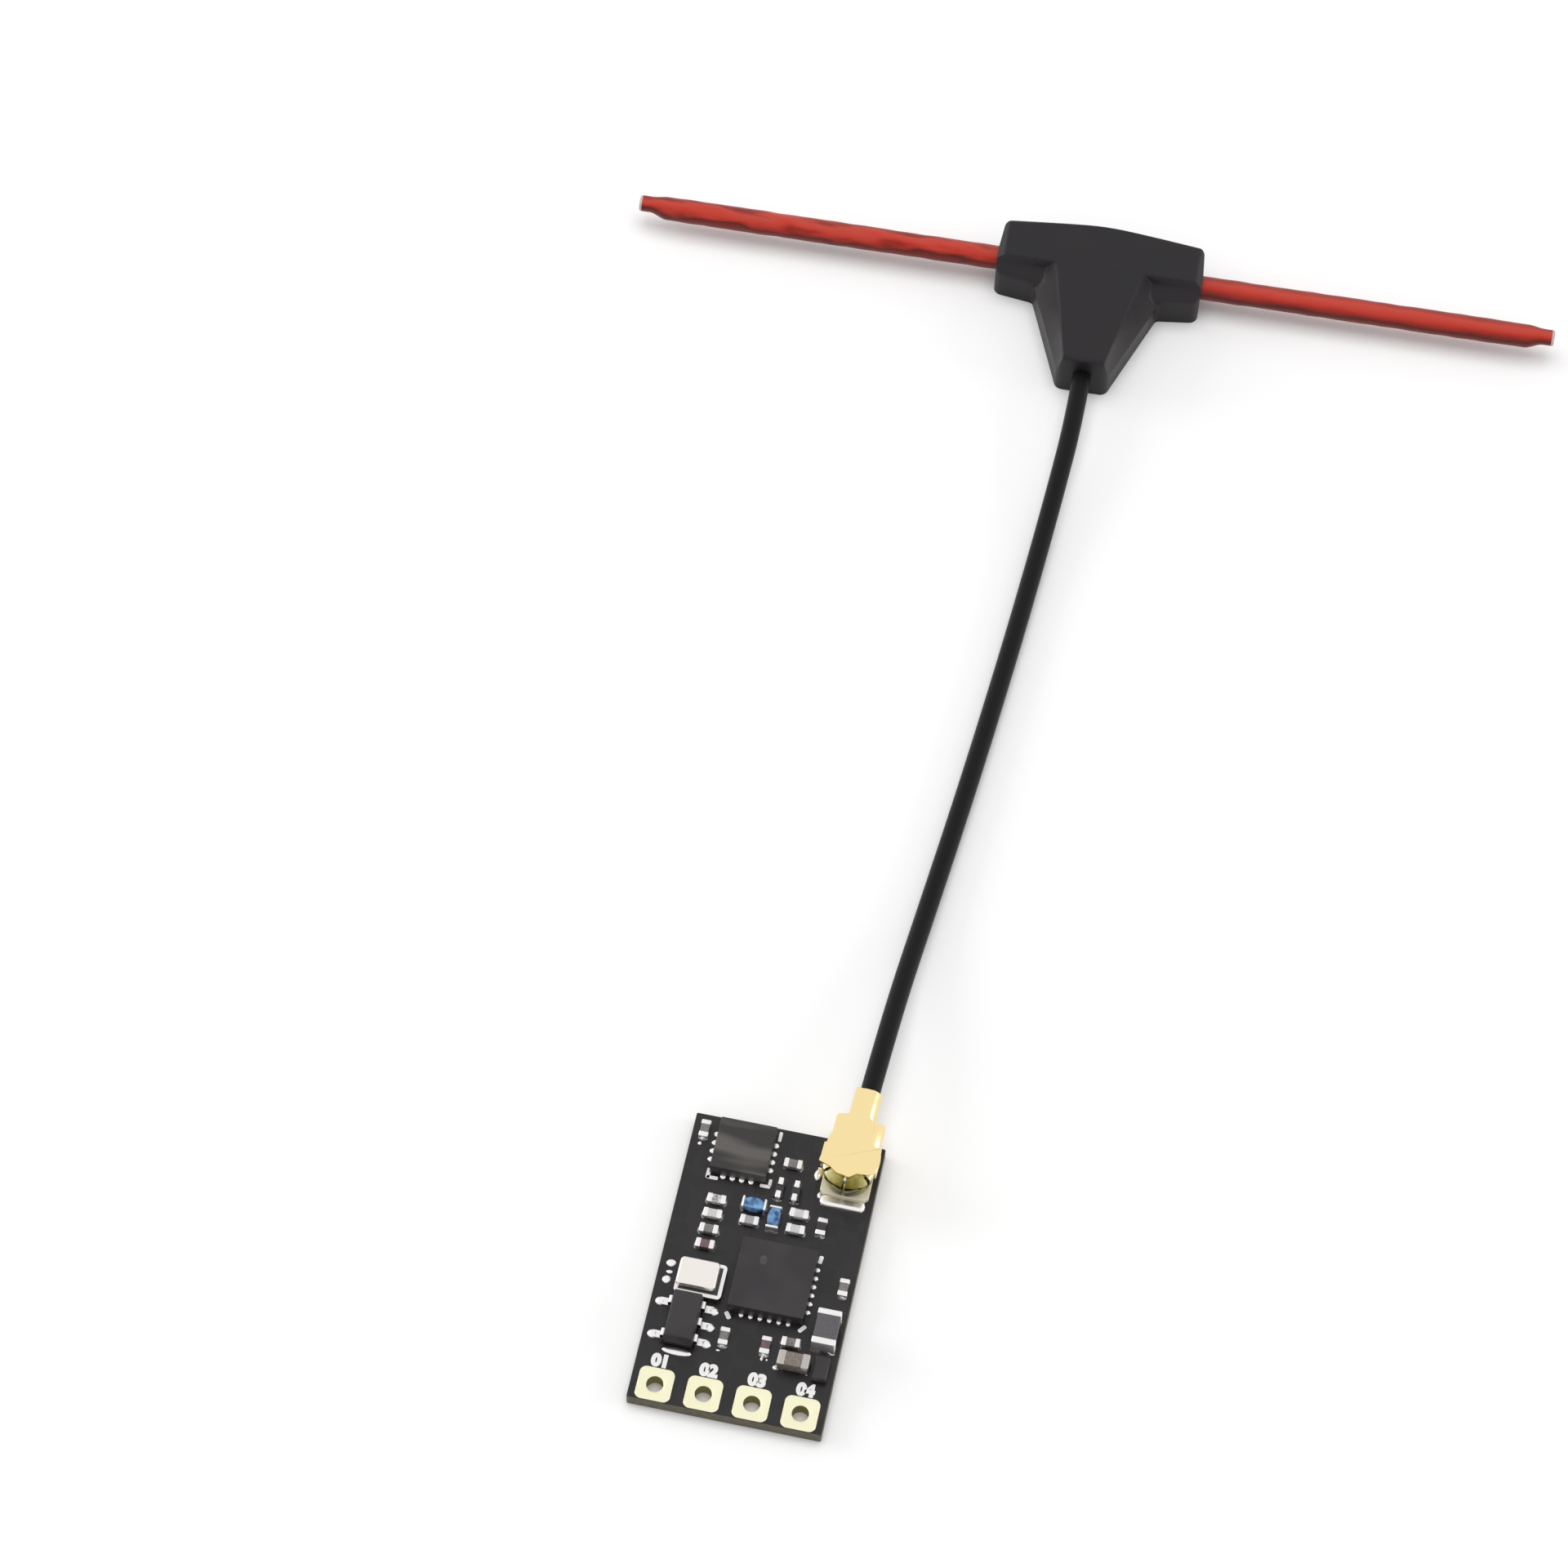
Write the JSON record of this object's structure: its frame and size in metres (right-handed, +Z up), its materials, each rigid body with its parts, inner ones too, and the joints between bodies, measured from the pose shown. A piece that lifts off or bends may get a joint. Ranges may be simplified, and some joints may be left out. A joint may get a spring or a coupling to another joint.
{
  "type": "radio control receiver",
  "caption": "Miniature radio-control receiver: a small populated circuit board with plated wire holes, a push-on coaxial plug, a thin coaxial lead and a T-shaped dipole antenna",
  "frame": {"origin": "centre of the circuit board's underside", "axes": "+X across the board, +Y along the board from the wire holes towards the antenna, +Z up from the surface that the board and the antenna lie on"},
  "size_m": [0.0542, 0.0784, 0.0031],
  "materials": {
    "board_black": "black solder mask over glass laminate",
    "plated_gold": "pale gold plating, bright",
    "ceramic_case": "fired ceramic, ivory",
    "crystal_metal": "nickel plated lid",
    "chip_black": "moulded epoxy, fine matt grain",
    "solder": "bright solder",
    "tinned_legs": "tin plated",
    "resistor_black": "glazed top between bright end caps",
    "capacitor_grey": "fired ceramic between bright end caps",
    "capacitor_pale": "pale ceramic between bright end caps",
    "capacitor_brown": "brown ceramic between bright end caps",
    "ferrite_brown": "purple brown ferrite between bright end caps",
    "inductor_blue": "blue coated winding between white end caps",
    "plug_gold": "gold plated, bright",
    "plug_plastic": "white moulded insulator",
    "socket_ivory": "ivory moulded base",
    "lead_black": "smooth black jacket",
    "braid_tinned": "tinned braid",
    "core_clear": "translucent white core",
    "wire_silver": "silver plated wire",
    "housing_black": "moulded, fine satin grain",
    "sleeve_red": "red shrunk sleeve, glossy",
    "element_brass": "plain brass tube"
  },
  "bodies": {
    "root": {"amplifier_chip": "chip_black", "amplifier_solder": "solder", "antenna_braid": "braid_tinned", "antenna_core": "core_clear", "antenna_housing": "housing_black", "antenna_resistor_1": "resistor_black", "antenna_resistor_2": "resistor_black", "antenna_wire": "wire_silver", "bias_resistor": "resistor_black", "board_pad_1": "plated_gold", "board_pad_2": "plated_gold", "board_pad_3": "plated_gold", "board_pad_4": "plated_gold", "chip_solder": "solder", "circuit_board": "board_black", "coaxial_lead": "lead_black", "corner_capacitor": "capacitor_grey", "crystal_case": "ceramic_case", "crystal_lid": "crystal_metal", "edge_capacitor": "capacitor_grey", "element_left": "element_brass", "element_right": "element_brass", "ferrite_bead": "ferrite_brown", "filter_capacitor_1": "capacitor_grey", "filter_capacitor_2": "capacitor_grey", "filter_capacitor_3": "capacitor_pale", "filter_capacitor_4": "capacitor_pale", "joint_left": "solder", "joint_right": "solder", "plug_braid": "braid_tinned", "plug_contact": "plug_gold", "plug_core": "core_clear", "plug_insulator": "plug_plastic", "plug_shell": "plug_gold", "plug_wire": "wire_silver", "protection_diode": "chip_black", "regulator_case": "chip_black", "regulator_legs": "tinned_legs", "reservoir_capacitor": "capacitor_grey", "side_capacitor_1": "capacitor_pale", "side_capacitor_2": "capacitor_grey", "side_resistor_1": "resistor_black", "sleeve_left": "sleeve_red", "sleeve_right": "sleeve_red", "socket_base": "socket_ivory", "socket_pin": "plug_gold", "socket_shell": "plug_gold", "solder_beads": "solder", "supply_capacitor_1": "capacitor_grey", "supply_capacitor_2": "capacitor_grey", "supply_capacitor_3": "capacitor_brown", "supply_capacitor_4": "capacitor_brown", "transceiver_chip": "chip_black", "transceiver_solder": "solder", "wound_inductor_1": "inductor_blue", "wound_inductor_2": "inductor_blue"}
  },
  "joints": []
}
